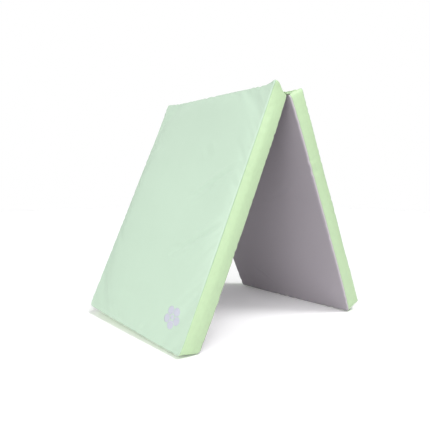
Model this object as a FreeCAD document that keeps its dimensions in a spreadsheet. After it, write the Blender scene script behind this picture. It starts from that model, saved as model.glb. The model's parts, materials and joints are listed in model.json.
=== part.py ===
import FreeCAD, Part
import math
import os
import Sketcher

# Two-panel folding gym mat, stood up as an A-frame on its two free ends.
#
# World frame, in millimetres: the origin is on the floor, under the middle of
# the ridge. +X runs from the left panel to the right one, +Y runs along the
# ridge away from the printed corner, and +Z is up.
#
# Panel frame, shared by every piece of one panel: X runs from the hinge axis
# to the panel's free end, Y runs along the hinge axis, and Z runs from the
# base face, which is inside when the mat is folded, to the top face.

SIZES = {
    # the panels
    "panel_length": 1000,      # hinge axis to free end
    "panel_width": 700,        # along the hinge axis
    "panel_thickness": 85,
    "lean_angle": 24.5,        # each panel from the vertical, in degrees
    "half_gap": 5,             # hinge axis to hinge wall
    "base_offset": 0.5,        # hinge axis to base face
    "corner_radius": 12,
    "corner_leg": 14,          # how far a long band runs round a corner
    # the cover and the core
    "cover_thickness": 1,
    "core_play": 0.5,
    # the zip in each hinge wall
    "zip_slot_width": 11,
    "zip_relief_width": 30,    # shallow recess in the core behind the zip
    "zip_relief_floor": 9.2,   # hinge axis to the bottom of that recess
    "zip_plane": 6.4,          # hinge axis to the middle of the tape
    "zip_end": 320,            # mid-width to the chain's lower stop
    "tape_end": 328,
    "tape_width": 28,
    "tape_thickness": 0.6,
    "chain_width": 5,
    "chain_thickness": 2,
    # the zip's slider and pull
    "slider_place": 305,       # mid-width to the closed slider's middle
    "slider_length": 14,
    "slider_width": 9,
    "slider_wall": 1,
    "slider_play": 0.3,
    "post_place": 5,           # slider's middle to its dividing post
    "post_size": 2,
    "bridge_length": 10,
    "bridge_width": 2,
    "bridge_wall": 0.8,
    "bridge_leg": 1,
    "bridge_room": 1.8,        # clear height under the bridge
    "pull_length": 22,
    "pull_width": 6,
    "pull_thickness": 0.8,
    "pull_bar_radius": 0.5,
    "pull_window_width": 3,
    "pull_window_length": 7.6,
    "pull_end_radius": 2.5,
    # the fabric hinge
    "strip_width": 690,
    "strip_thickness": 0.8,
    "strip_foot": 7,
    "strip_foot_start": 8,     # base side of the hinge wall to the foot
    "strip_play": 0.3,
    # the printed mark, a plain five-petal flower
    "mark_from_hinge": 914,
    "mark_from_middle": 247,
    "mark_petal_radius": 16,
    "mark_petal_place": 25,
    "mark_centre_radius": 12,
    "mark_thickness": 0.3,
}
PETALS = 5

# Expressions in the panel frame, built from the sheet.
BASE_FACE = "sizes.base_offset"
TOP_FACE = "(sizes.base_offset + sizes.panel_thickness)"
BASE_INSIDE = "(sizes.base_offset + sizes.cover_thickness)"
TOP_INSIDE = "(sizes.base_offset + sizes.panel_thickness - sizes.cover_thickness)"
MID_HEIGHT = "(sizes.base_offset + sizes.panel_thickness / 2)"
HINGE_WALL = "sizes.half_gap"
FREE_END = "sizes.panel_length"
HALF_WIDTH = "sizes.panel_width / 2"
COVER = "sizes.cover_thickness"
CORE_INSET = "(sizes.cover_thickness + sizes.core_play)"

doc = FreeCAD.newDocument("folding_gym_mat")
sheet = doc.addObject("Spreadsheet::Sheet", "sizes")
for row, (alias, number) in enumerate(SIZES.items(), start=1):
    sheet.set(f"A{row}", alias)
    sheet.set(f"B{row}", str(number))
    sheet.setAlias(f"B{row}", alias)
doc.recompute()

lean = float(sheet.lean_angle)
hinge_height = (
    sheet.panel_length * math.cos(math.radians(lean))
    - sheet.base_offset * math.sin(math.radians(lean))
)
tilt = FreeCAD.Rotation(FreeCAD.Vector(0, 1, 0), 90 - lean)
turn = FreeCAD.Rotation(FreeCAD.Vector(0, 0, 1), 180)
ridge = FreeCAD.Vector(0, 0, hinge_height)
PANEL_PLACES = {
    "left": FreeCAD.Placement(ridge, turn * tilt),
    "right": FreeCAD.Placement(ridge, tilt),
}
# The left panel is turned half round, so the far end of the ridge is at its -Y.
FAR_SIGNS = {"left": "-1", "right": "1"}

parts = []


def keep(piece, name, place):
    """Name a finished piece, put it where it belongs and list it for export."""
    piece.Label = name
    piece.Placement = place
    parts.append(piece)
    return piece


def origin_plane(body, role):
    """One of a body's own origin planes."""
    for feature in body.Origin.OriginFeatures:
        if feature.Role == role:
            return feature
    raise ValueError(role)


def add_loop(sketch, corners):
    """Draw a closed polygon whose corner coordinates are expressions."""
    first = sketch.GeometryCount
    count = len(corners)
    starts = [
        FreeCAD.Vector(math.cos(2 * math.pi * i / count), math.sin(2 * math.pi * i / count), 0)
        for i in range(count)
    ]
    for i in range(count):
        sketch.addGeometry(Part.LineSegment(starts[i], starts[(i + 1) % count]))
    for i, (across, along) in enumerate(corners):
        line = first + i
        following = first + (i + 1) % count
        sketch.addConstraint(Sketcher.Constraint("Coincident", line, 2, following, 1))
        for kind, expression in (("DistanceX", across), ("DistanceY", along)):
            index = sketch.addConstraint(Sketcher.Constraint(kind, -1, 1, line, 1, 1.0))
            sketch.setExpression(f"Constraints[{index}]", expression)


def new_sketch(body, role, level, loops):
    """A sketch on an origin plane, raised by level, that holds the loops."""
    sketch = body.newObject("Sketcher::SketchObject", "outline")
    sketch.AttachmentSupport = (origin_plane(body, role), [""])
    sketch.MapMode = "FlatFace"
    sketch.setExpression("AttachmentOffset.Base.z", level)
    for corners in loops:
        add_loop(sketch, corners)
    return sketch


def add_pad(body, sketch, length):
    """Pad a sketch by an expression and make it the body's tip."""
    pad = body.newObject("PartDesign::Pad", "pad")
    pad.Profile = sketch
    pad.setExpression("Length", length)
    body.Tip = pad
    doc.recompute()
    return pad


def round_corners(body, feature, sketch, corner_numbers, radius):
    """Fillet the edges that stand on the given corners of a sketch."""
    to_world = sketch.Placement
    normal = to_world.Rotation.multVec(FreeCAD.Vector(0, 0, 1))
    names = []
    for number, edge in enumerate(feature.Shape.Edges, start=1):
        ends = [vertex.Point for vertex in edge.Vertexes]
        if len(ends) != 2 or (ends[1] - ends[0]).cross(normal).Length > 1e-6:
            continue
        for corner in corner_numbers:
            foot = to_world.multVec(sketch.Geometry[corner].StartPoint)
            if (ends[0] - foot).cross(normal).Length < 1e-6:
                names.append(f"Edge{number}")
    fillet = body.newObject("PartDesign::Fillet", "rounded_corners")
    fillet.Base = (feature, names)
    fillet.setExpression("Radius", radius)
    body.Tip = fillet
    doc.recompute()
    return fillet


def rectangle(low_x, high_x, low_y, high_y):
    """Corner expressions of an upright rectangle."""
    return [(low_x, low_y), (high_x, low_y), (high_x, high_y), (low_x, high_y)]


def make_slab(name, place, corners, bottom, top, rounds=()):
    """A flat piece of a panel: an outline in X and Y between two levels of Z."""
    body = doc.addObject("PartDesign::Body", name)
    sketch = new_sketch(body, "XY_Plane", bottom, [corners])
    feature = add_pad(body, sketch, f"{top} - {bottom}")
    for corner_numbers, radius in rounds:
        feature = round_corners(body, feature, sketch, corner_numbers, radius)
    return keep(body, name, place)


def make_box(name, low, high):
    """A box between two corners given as expressions, in the panel frame."""
    box = doc.addObject("Part::Box", name)
    lengths = ("Length", "Width", "Height")
    for size, axis, start, end in zip(lengths, "xyz", low, high):
        box.setExpression(size, f"({end}) - ({start})")
        box.setExpression(f".Placement.Base.{axis}", start)
    return box


def join(kind, name, pieces):
    """A boolean of several objects: Part::MultiFuse or Part::MultiCommon."""
    result = doc.addObject(kind, name)
    result.Shapes = pieces
    return result


def cut(name, base, tool):
    """One object with another taken away from it."""
    result = doc.addObject("Part::Cut", name)
    result.Base = base
    result.Tool = tool
    return result


def make_core(side, place):
    """The foam block, with a shallow recess behind the zip."""
    name = f"{side}_foam_core"
    body = doc.addObject("PartDesign::Body", name)
    outline = rectangle(
        f"{HINGE_WALL} + {CORE_INSET}",
        f"{FREE_END} - {CORE_INSET}",
        f"-({HALF_WIDTH} - {CORE_INSET})",
        f"{HALF_WIDTH} - {CORE_INSET}",
    )
    sketch = new_sketch(body, "XY_Plane", f"{BASE_FACE} + {CORE_INSET}", [outline])
    pad = add_pad(body, sketch, f"sizes.panel_thickness - 2 * {CORE_INSET}")
    radius = f"sizes.corner_radius - {CORE_INSET}"
    rounded = round_corners(body, pad, sketch, range(4), radius)
    solid_volume = rounded.Shape.Volume

    recess = rectangle(
        "0",
        "sizes.zip_relief_floor",
        f"{MID_HEIGHT} - sizes.zip_relief_width / 2",
        f"{MID_HEIGHT} + sizes.zip_relief_width / 2",
    )
    # On the XZ plane a sketch's own Z is the panel's -Y.
    recess_sketch = new_sketch(body, "XZ_Plane", "0", [recess])
    pocket = body.newObject("PartDesign::Pocket", "zip_recess")
    pocket.Profile = recess_sketch
    pocket.Midplane = True
    pocket.setExpression("Length", "2 * sizes.panel_width")
    body.Tip = pocket
    doc.recompute()
    if pocket.Shape.Volume >= solid_volume:
        raise RuntimeError("the zip recess cut nothing")
    keep(body, name, place)


def make_sheets(side, place):
    """The top sheet and the base sheet, each cut to the panel's full outline."""
    outline = rectangle(HINGE_WALL, FREE_END, f"-{HALF_WIDTH}", HALF_WIDTH)
    levels = {"base_sheet": (BASE_FACE, BASE_INSIDE), "top_sheet": (TOP_INSIDE, TOP_FACE)}
    for piece, (bottom, top) in levels.items():
        rounds = [(range(4), "sizes.corner_radius")]
        make_slab(f"{side}_{piece}", place, outline, bottom, top, rounds)


def make_long_band(name, place, sign):
    """A side wall along one long edge, which turns both corners."""
    outer = f"{sign} * {HALF_WIDTH}"
    inner = f"{sign} * ({HALF_WIDTH} - {COVER})"
    leg = f"{sign} * ({HALF_WIDTH} - sizes.corner_leg)"
    corners = [
        (HINGE_WALL, outer),
        (FREE_END, outer),
        (FREE_END, leg),
        (f"{FREE_END} - {COVER}", leg),
        (f"{FREE_END} - {COVER}", inner),
        (f"{HINGE_WALL} + {COVER}", inner),
        (f"{HINGE_WALL} + {COVER}", leg),
        (HINGE_WALL, leg),
    ]
    rounds = [
        ((0, 1), "sizes.corner_radius"),
        ((4, 5), f"sizes.corner_radius - {COVER}"),
    ]
    make_slab(name, place, corners, BASE_INSIDE, TOP_INSIDE, rounds)


def make_short_bands(side, place):
    """The free-end wall, and the hinge wall in two halves about the zip."""
    leg = f"{HALF_WIDTH} - sizes.corner_leg"
    slot_low = f"({MID_HEIGHT} - sizes.zip_slot_width / 2)"
    slot_high = f"({MID_HEIGHT} + sizes.zip_slot_width / 2)"
    end = rectangle(f"{FREE_END} - {COVER}", FREE_END, f"-({leg})", leg)
    hinge = rectangle(HINGE_WALL, f"{HINGE_WALL} + {COVER}", f"-({leg})", leg)
    make_slab(f"{side}_end_band", place, end, BASE_INSIDE, TOP_INSIDE)
    make_slab(f"{side}_hinge_band_lower", place, hinge, BASE_INSIDE, slot_low)
    make_slab(f"{side}_hinge_band_upper", place, hinge, slot_high, TOP_INSIDE)


def make_zip_tape(side, place):
    """The two woven tapes, one each side of the chain, as one node."""
    low_x = "sizes.zip_plane - sizes.tape_thickness / 2"
    high_x = "sizes.zip_plane + sizes.tape_thickness / 2"
    halves = []
    for sign in ("-1", "1"):
        near = f"{MID_HEIGHT} + {sign} * sizes.chain_width / 2"
        far = f"{MID_HEIGHT} + {sign} * sizes.tape_width / 2"
        bottom, top = (far, near) if sign == "-1" else (near, far)
        low = (low_x, "-sizes.tape_end", bottom)
        high = (high_x, "sizes.tape_end", top)
        halves.append(make_box(f"{side}_tape_half", low, high))
    tape = join("Part::MultiFuse", f"{side}_zip_tape", halves)
    keep(tape, f"{side}_zip_tape", place)


def make_zip_chain(side, place, far_sign):
    """The closed teeth, from the bottom stop to the slider's dividing post."""
    stop = f"{far_sign} * (-sizes.zip_end)"
    post = (
        f"{far_sign} * (sizes.slider_place + sizes.post_place"
        " - sizes.post_size / 2 - sizes.slider_play)"
    )
    low_y, high_y = (stop, post) if far_sign == "1" else (post, stop)
    outline = rectangle(
        "sizes.zip_plane - sizes.chain_thickness / 2",
        "sizes.zip_plane + sizes.chain_thickness / 2",
        low_y,
        high_y,
    )
    bottom = f"({MID_HEIGHT} - sizes.chain_width / 2)"
    top = f"({MID_HEIGHT} + sizes.chain_width / 2)"
    make_slab(f"{side}_zip_chain", place, outline, bottom, top)


def centred_box(name, x_range, middle_y, length, width):
    """A box with a given X range, centred on a place in Y and on mid-height."""
    low = (x_range[0], f"{middle_y} - {length} / 2", f"{MID_HEIGHT} - {width} / 2")
    high = (x_range[1], f"{middle_y} + {length} / 2", f"{MID_HEIGHT} + {width} / 2")
    return make_box(name, low, high)


def make_zip_slider(side, place, far_sign):
    """Two plates joined by a dividing post, with flanges and a bridge on top."""
    middle = f"{far_sign} * sizes.slider_place"
    channel_half = "(sizes.chain_thickness / 2 + sizes.slider_play)"
    slot_half = "(sizes.tape_thickness / 2 + sizes.slider_play)"
    channel = (f"sizes.zip_plane - {channel_half}", f"sizes.zip_plane + {channel_half}")
    slot = (f"sizes.zip_plane - {slot_half}", f"sizes.zip_plane + {slot_half}")
    top_plate = f"(sizes.zip_plane - {channel_half} - sizes.slider_wall)"
    bottom_plate = f"(sizes.zip_plane + {channel_half} + sizes.slider_wall)"
    bridge_under = f"({top_plate} - sizes.bridge_room)"
    bridge_top = f"({bridge_under} - sizes.bridge_wall)"
    overrun = "(sizes.slider_length + 2)"

    def part_box(label, x_range, place_y, length, width):
        return centred_box(f"{side}_slider_{label}", x_range, place_y, length, width)

    block = part_box("block", (top_plate, bottom_plate), middle,
                     "sizes.slider_length", "sizes.slider_width")
    chain_way = part_box("chain_way", channel, middle, overrun,
                         "(sizes.chain_width + 2 * sizes.slider_play)")
    tape_way = part_box("tape_way", slot, middle, overrun, "(sizes.slider_width + 2)")
    post = part_box("post", (top_plate, bottom_plate),
                    f"{far_sign} * (sizes.slider_place + sizes.post_place)",
                    "sizes.post_size", "sizes.post_size")
    bar = part_box("bar", (bridge_top, bridge_under), middle,
                   "sizes.bridge_length", "sizes.bridge_width")
    legs = []
    for sign in ("-1", "1"):
        leg_place = f"({middle} + {sign} * (sizes.bridge_length - sizes.bridge_leg) / 2)"
        legs.append(part_box("leg", (bridge_under, top_plate), leg_place,
                             "sizes.bridge_leg", "sizes.bridge_width"))
    ways = join("Part::MultiFuse", f"{side}_slider_ways", [chain_way, tape_way])
    plates = cut(f"{side}_slider_plates", block, ways)
    slider = join("Part::MultiFuse", f"{side}_zip_slider", [plates, post, bar] + legs)
    keep(slider, f"{side}_zip_slider", place)


def make_zip_pull(side, place, far_sign):
    """A flat tab on two arms, whose round end bar turns under the slider's bridge."""
    name = f"{side}_zip_pull"
    pivot_x = (
        "(sizes.zip_plane - sizes.chain_thickness / 2 - sizes.slider_play"
        " - sizes.slider_wall - sizes.bridge_room / 2)"
    )
    pivot_y = f"{far_sign} * sizes.slider_place"
    tab_end = f"{far_sign} * (sizes.slider_place - sizes.pull_length)"
    arm_end = f"{far_sign} * (sizes.slider_place - sizes.pull_window_length)"
    low = f"({MID_HEIGHT} - sizes.pull_width / 2)"
    high = f"({MID_HEIGHT} + sizes.pull_width / 2)"
    window_low = f"({MID_HEIGHT} - sizes.pull_window_width / 2)"
    window_high = f"({MID_HEIGHT} + sizes.pull_window_width / 2)"
    outline = [
        (pivot_y, low),
        (tab_end, low),
        (tab_end, high),
        (pivot_y, high),
        (pivot_y, window_high),
        (arm_end, window_high),
        (arm_end, window_low),
        (pivot_y, window_low),
    ]
    body = doc.addObject("PartDesign::Body", f"{name}_tab")
    # A sketch on the YZ plane draws the panel's Y and Z, and pads along X.
    level = f"{pivot_x} - sizes.pull_thickness / 2"
    sketch = new_sketch(body, "YZ_Plane", level, [outline])
    pad = add_pad(body, sketch, "sizes.pull_thickness")
    round_corners(body, pad, sketch, (1, 2), "sizes.pull_end_radius")

    bar = doc.addObject("Part::Cylinder", f"{name}_bar")
    bar.setExpression("Radius", "sizes.pull_bar_radius")
    bar.setExpression("Height", "sizes.pull_width")
    for axis, expression in zip("xyz", (pivot_x, pivot_y, low)):
        bar.setExpression(f".Placement.Base.{axis}", expression)
    pull = join("Part::MultiFuse", name, [body, bar])
    keep(pull, name, place)


def make_hinge_strip():
    """The fabric hinge: a foot on each hinge wall, and a bridge over the gap."""
    foot_level = "(sizes.half_gap - sizes.strip_play)"
    foot_corner = FreeCAD.Vector(
        sheet.half_gap - sheet.strip_play - sheet.strip_thickness,
        -sheet.strip_width / 2,
        sheet.strip_foot_start,
    )
    pieces = []
    for side, place in PANEL_PLACES.items():
        foot = doc.addObject("Part::Box", f"{side}_strip_foot")
        foot.setExpression("Length", "sizes.strip_thickness")
        foot.setExpression("Width", "sizes.strip_width")
        foot.setExpression("Height", "sizes.strip_foot")
        foot.Placement = place * FreeCAD.Placement(foot_corner, FreeCAD.Rotation())
        pieces.append(foot)

    # The bridge lies level between the inner lower edges of the two feet.
    reach = (
        f"({foot_level} * sin(sizes.lean_angle)"
        " + sizes.strip_foot_start * cos(sizes.lean_angle))"
    )
    drop = (
        f"({foot_level} * cos(sizes.lean_angle)"
        " - sizes.strip_foot_start * sin(sizes.lean_angle))"
    )
    bridge = doc.addObject("Part::Box", "strip_bridge")
    bridge.setExpression("Length", f"2 * {reach}")
    bridge.setExpression("Width", "sizes.strip_width")
    bridge.setExpression("Height", "sizes.strip_thickness")
    bridge.setExpression(".Placement.Base.x", f"-{reach}")
    bridge.setExpression(".Placement.Base.y", "-sizes.strip_width / 2")
    bridge.setExpression(
        ".Placement.Base.z",
        "sizes.panel_length * cos(sizes.lean_angle)"
        f" - sizes.base_offset * sin(sizes.lean_angle) - {drop}",
    )
    pieces.append(bridge)
    strip = join("Part::MultiFuse", "hinge_strip", pieces)
    keep(strip, "hinge_strip", FreeCAD.Placement())


def make_print_mark():
    """A thin printed flower at the near free corner of the left top sheet."""
    petals = []
    centre = FreeCAD.Vector(sheet.mark_from_hinge, sheet.mark_from_middle,
                            sheet.base_offset + sheet.panel_thickness)
    for number in range(PETALS + 1):
        disc = doc.addObject("Part::Cylinder", "mark_disc")
        disc.setExpression("Height", "sizes.mark_thickness")
        if number == PETALS:
            disc.setExpression("Radius", "sizes.mark_centre_radius")
            reach = 0
        else:
            disc.setExpression("Radius", "sizes.mark_petal_radius")
            reach = sheet.mark_petal_place
        angle = 2 * math.pi * number / PETALS
        offset = FreeCAD.Vector(reach * math.cos(angle), reach * math.sin(angle), 0)
        disc.Placement = FreeCAD.Placement(centre + offset, FreeCAD.Rotation())
        petals.append(disc)
    flower = join("Part::MultiFuse", "print_mark", petals)
    keep(flower, "print_mark", PANEL_PLACES["left"])


for side, place in PANEL_PLACES.items():
    far_sign = FAR_SIGNS[side]
    make_core(side, place)
    make_sheets(side, place)
    make_long_band(f"{side}_front_band", place, f"-1 * {far_sign}")
    make_long_band(f"{side}_back_band", place, far_sign)
    make_short_bands(side, place)
    make_zip_tape(side, place)
    make_zip_chain(side, place, far_sign)
    make_zip_slider(side, place, far_sign)
    make_zip_pull(side, place, far_sign)
make_hinge_strip()
make_print_mark()
doc.recompute()

for item in doc.Objects:
    if "Invalid" in item.State or "Error" in item.State:
        raise RuntimeError(f"{item.Label} did not build: {item.State}")
for piece in parts:
    if piece.Shape.isNull() or not piece.Shape.isValid():
        raise RuntimeError(f"{piece.Label} is not a valid solid")

os.makedirs("parts", exist_ok=True)
for piece in parts:
    piece.Shape.exportStep(f"parts/{piece.Label}.step")
    solids = len(piece.Shape.Solids)
    print(f"{piece.Label}: {solids} solid(s), {piece.Shape.Volume / 1000:.2f} cm3")
print(f"{len(parts)} parts, hinge axis at {hinge_height:.3f} mm")
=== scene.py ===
import json
import math

import bmesh
import bpy
import numpy as np
from mathutils import Matrix, Vector
from mathutils.bvhtree import BVHTree


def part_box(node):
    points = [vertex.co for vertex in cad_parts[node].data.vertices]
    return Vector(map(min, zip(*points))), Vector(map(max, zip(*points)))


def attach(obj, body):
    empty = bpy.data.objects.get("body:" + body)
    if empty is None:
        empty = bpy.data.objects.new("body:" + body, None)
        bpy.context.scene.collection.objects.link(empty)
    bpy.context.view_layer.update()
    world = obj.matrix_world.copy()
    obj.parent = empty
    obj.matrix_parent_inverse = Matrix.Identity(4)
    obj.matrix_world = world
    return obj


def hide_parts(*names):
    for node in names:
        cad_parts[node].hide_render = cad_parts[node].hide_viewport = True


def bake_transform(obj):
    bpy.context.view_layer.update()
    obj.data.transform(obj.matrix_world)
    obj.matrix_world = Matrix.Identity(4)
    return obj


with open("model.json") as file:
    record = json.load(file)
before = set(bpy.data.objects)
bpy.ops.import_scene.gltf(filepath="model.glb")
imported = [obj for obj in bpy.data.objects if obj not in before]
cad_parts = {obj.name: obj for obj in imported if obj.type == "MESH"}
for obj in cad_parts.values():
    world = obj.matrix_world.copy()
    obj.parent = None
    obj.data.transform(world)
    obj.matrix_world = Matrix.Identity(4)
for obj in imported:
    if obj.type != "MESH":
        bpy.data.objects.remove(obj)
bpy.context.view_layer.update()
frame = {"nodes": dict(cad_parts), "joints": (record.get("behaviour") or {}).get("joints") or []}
MM = 0.001
scene = bpy.context.scene
X, Y, Z = range(3)

# ---- The panel frame: X from the ridge to the free end, Y along the ridge, and Z
# from the base face to the top face. PLACES puts each panel in the row frame.
fold = next(joint for joint in frame["joints"] if joint["name"] == "fold")
RIDGE = Vector(fold["pos_m"])
LEAN = -math.radians(fold["range_deg"][0]) / 2
TILT = Matrix.Rotation(math.pi / 2 - LEAN, 4, "Y")
PLACES = {
    "left": Matrix.Translation(RIDGE) @ Matrix.Rotation(math.pi, 4, "Z") @ TILT,
    "right": Matrix.Translation(RIDGE) @ TILT,
}
FAR = {"left": -1, "right": 1}  # the sign of Y at the far end of the ridge


def moved(points, matrix):
    """Points moved by a 4 x 4 matrix."""
    matrix = np.array(matrix)
    return points @ matrix[:3, :3].T + matrix[:3, 3]


def panel_box(node, side):
    """Lowest and highest corners of a CAD node, in its panel's frame."""
    points = np.array([vertex.co[:] for vertex in frame["nodes"][node].data.vertices])
    points = moved(points, PLACES[side].inverted())
    return points.min(axis=0), points.max(axis=0)


TOP_LOW, TOP_HIGH = panel_box("right_top_sheet", "right")
BASE_LOW, BASE_HIGH = panel_box("right_base_sheet", "right")
HINGE_WALL = TOP_LOW[0]
FREE_END = TOP_HIGH[0]
HALF_WIDTH = TOP_HIGH[1]
BASE = BASE_LOW[2]
TOP = TOP_HIGH[2]
MID_LEVEL = (BASE + TOP) / 2

PLAN_RADIUS = 10 * MM  # corners of the panel, seen from above
TOP_RADIUS = 7 * MM  # where the top sheet rolls over onto the walls
BASE_RADIUS = 6 * MM  # where the walls roll over onto the base face
TOP_SEAM_TURN = math.radians(12)  # the top seam, as a turn from the walls
BASE_SEAM_TURN = math.radians(45)  # the left panel's base seam, likewise
BASE_LAP = 7.5 * MM  # the right panel's base sheet laps up onto its walls
SLOT_HALF = 5.5 * MM  # half the width of the zip's slot
SLOT_END = 329 * MM  # mid-width to the end of the slot
BAND_TURN = 13 * MM  # how far a long band runs round each corner
CLOTH = 0.8 * MM  # thickness of the coated fabric
GRID_STEP = 12 * MM
GRID_MARGINS = [0, 2.5 * MM, 5 * MM, 11 * MM, 19 * MM, 30 * MM]
TOP_SEAM = TOP_RADIUS * (1 - math.sin(TOP_SEAM_TURN))  # below the top face
# Above the base face.
BASE_SEAM = {"left": BASE_RADIUS * (1 - math.sin(BASE_SEAM_TURN)), "right": BASE_LAP}

# The pieces that a cover is cut from. A low or high band is the long wall at
# the panel's lowest or highest Y, and "slot" is the opening for the zip.
REGIONS = ["top", "base", "low_band", "high_band", "end_band",
           "hinge_band_upper", "hinge_band_lower", "slot"]


def smoothstep(value, low=0, high=1):
    """From 0 to 1 with no corners, as the value goes from low to high."""
    share = np.clip((value - low) / (high - low), 0, 1)
    return share * share * (3 - 2 * share)


# ---- Cover mesh: a closed rounded box of quads, with rows where its seams go
def spaced(low, high, steps):
    """Grid lines from low to high: close together at both ends, even between."""
    margins = np.array(GRID_MARGINS)
    middle = np.linspace(low + margins[-1], high - margins[-1], steps + 1)
    return np.concatenate([low + margins[:-1], middle, high - margins[-2::-1]])


def plan_point(x, y, inset=None):
    """A grid point, with the plan's corners rounded. With an inset it is a point on
    the walls, less the inset; without one it is a point of a face."""
    core_x = min(max(x, HINGE_WALL + PLAN_RADIUS), FREE_END - PLAN_RADIUS)
    core_y = min(max(y, PLAN_RADIUS - HALF_WIDTH), HALF_WIDTH - PLAN_RADIUS)
    out_x, out_y = x - core_x, y - core_y
    reach = math.hypot(out_x, out_y)
    if reach < 1e-9:
        return x, y
    wanted = max(abs(out_x), abs(out_y)) if inset is None else PLAN_RADIUS - inset
    return core_x + out_x * wanted / reach, core_y + out_y * wanted / reach


def roll_row(face, angle, name="roll"):
    """A row where a face rolls over, at a turn from the walls."""
    radius = TOP_RADIUS if face == "top" else BASE_RADIUS
    drop = radius * (1 - math.sin(angle))
    level = TOP - drop if face == "top" else BASE + drop
    return radius * (1 - math.cos(angle)), level, name


def wall_rows(side):
    """Rows of a wall from top to base: (inset from the wall, height, name)."""
    rows = [roll_row("top", math.radians(66)), roll_row("top", math.radians(40)),
            roll_row("top", TOP_SEAM_TURN, "top_seam")]
    rows += [
        (0, TOP - TOP_RADIUS - 7 * MM, "band"),
        (0, MID_LEVEL + 15 * MM, "band"),
        (0, MID_LEVEL + SLOT_HALF, "slot_edge"),
        (0, MID_LEVEL, "slot"),
        (0, MID_LEVEL - SLOT_HALF, "slot_edge"),
        (0, MID_LEVEL - 15 * MM, "band"),
        (0, BASE + 18 * MM, "band"),
    ]
    if side == "left":
        rows += [roll_row("base", 0), roll_row("base", BASE_SEAM_TURN, "base_seam")]
    else:
        rows += [(0, BASE + BASE_LAP, "base_seam"), roll_row("base", math.radians(15))]
    return rows + [roll_row("base", math.radians(68))]


def wall_region(side, x, y, row_above, row_below):
    """Which piece of the cover a wall quad belongs to."""
    names = [row[2] for row in (row_above, row_below)]
    middle = (row_above[1] + row_below[1]) / 2
    if middle > TOP - TOP_SEAM:
        return "top"
    if middle < BASE + BASE_SEAM[side]:
        return "base"
    if abs(y) > HALF_WIDTH - BAND_TURN:
        return "low_band" if y < 0 else "high_band"
    if x > (HINGE_WALL + FREE_END) / 2:
        return "end_band"
    if "slot" in names and abs(y) < SLOT_END:
        return "slot"
    return "hinge_band_upper" if middle > MID_LEVEL else "hinge_band_lower"


def build_cover(side):
    """Points, quads, the region of each quad and the row name of each point."""
    steps_x = round((FREE_END - HINGE_WALL - 2 * GRID_MARGINS[-1]) / GRID_STEP)
    steps_y = round(2 * (HALF_WIDTH - GRID_MARGINS[-1]) / GRID_STEP)
    (xs, ys), (base_xs, base_ys) = [
        (spaced(HINGE_WALL + radius, FREE_END - radius, steps_x),
         spaced(radius - HALF_WIDTH, HALF_WIDTH - radius, steps_y))
        for radius in (TOP_RADIUS, BASE_RADIUS)]
    count_x, count_y = len(xs), len(ys)
    rows = wall_rows(side)

    def base_point(i, j):
        """The base face's border stands under the walls."""
        if i in (0, count_x - 1) or j in (0, count_y - 1):
            return (*plan_point(xs[i], ys[j], BASE_RADIUS), BASE)
        return (*plan_point(base_xs[i], base_ys[j]), BASE)

    def top_index(i, j):
        return i * count_y + j

    crossings = [(i, j) for i in range(count_x) for j in range(count_y)]
    points = [(*plan_point(xs[i], ys[j]), TOP) for i, j in crossings]
    points += [base_point(i, j) for i, j in crossings]
    names = ["face"] * len(points)
    base_start = count_x * count_y

    rim = [(i, 0) for i in range(count_x)]
    rim += [(count_x - 1, j) for j in range(1, count_y)]
    rim += [(i, count_y - 1) for i in range(count_x - 2, -1, -1)]
    rim += [(0, j) for j in range(count_y - 2, 0, -1)]
    rings = [[top_index(i, j) for i, j in rim]]
    for inset, level, name in rows:
        rings.append([len(points) + k for k in range(len(rim))])
        points += [(*plan_point(xs[i], ys[j], inset), level) for i, j in rim]
        names += [name] * len(rim)
    rings.append([base_start + index for index in rings[0]])

    quads, regions = [], []
    for i in range(count_x - 1):
        for j in range(count_y - 1):
            corners = [top_index(i, j), top_index(i + 1, j),
                       top_index(i + 1, j + 1), top_index(i, j + 1)]
            quads += [corners, [base_start + corner for corner in reversed(corners)]]
            regions += [REGIONS.index("top"), REGIONS.index("base")]

    levels = [(TOP_RADIUS, TOP, "face")] + rows + [(BASE_RADIUS, BASE, "face")]
    for upper, lower, above, below in zip(rings, rings[1:], levels, levels[1:]):
        for k in range(len(rim)):
            following = (k + 1) % len(rim)
            quads.append([upper[k], lower[k], lower[following], upper[following]])
            x, y, _ = (np.array(points[upper[k]]) + np.array(points[upper[following]])) / 2
            regions.append(REGIONS.index(wall_region(side, x, y, above, below)))
    return np.array(points), quads, regions, names


def mesh_object(name, points, faces):
    """A new mesh object in the scene, smooth shaded."""
    mesh = bpy.data.meshes.new(name)
    mesh.from_pydata([tuple(point) for point in points], [], faces)
    mesh.polygons.foreach_set("use_smooth", [True] * len(mesh.polygons))
    mesh.update()
    made = bpy.data.objects.new(name, mesh)
    scene.collection.objects.link(made)
    return made


def read_all(items, attribute, width, kind=float):
    """An attribute of all the items of a mesh, as an array with a row for each."""
    flat = np.empty(len(items) * width, dtype=kind)
    items.foreach_get(attribute, flat)
    return flat.reshape(-1, width)


def mesh_points(mesh):
    """The vertex positions of a mesh as an array."""
    return read_all(mesh.vertices, "co", 3)


def evaluated(made, read):
    """What read gives for an object's mesh with its modifiers applied."""
    holder = made.evaluated_get(bpy.context.evaluated_depsgraph_get())
    result = read(holder.to_mesh())
    holder.to_mesh_clear()
    return result


def shifts(axis, amount):
    """Shifts by the given amounts along one axis."""
    shift = np.zeros((len(amount), 3))
    shift[:, axis] = amount
    return shift


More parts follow.
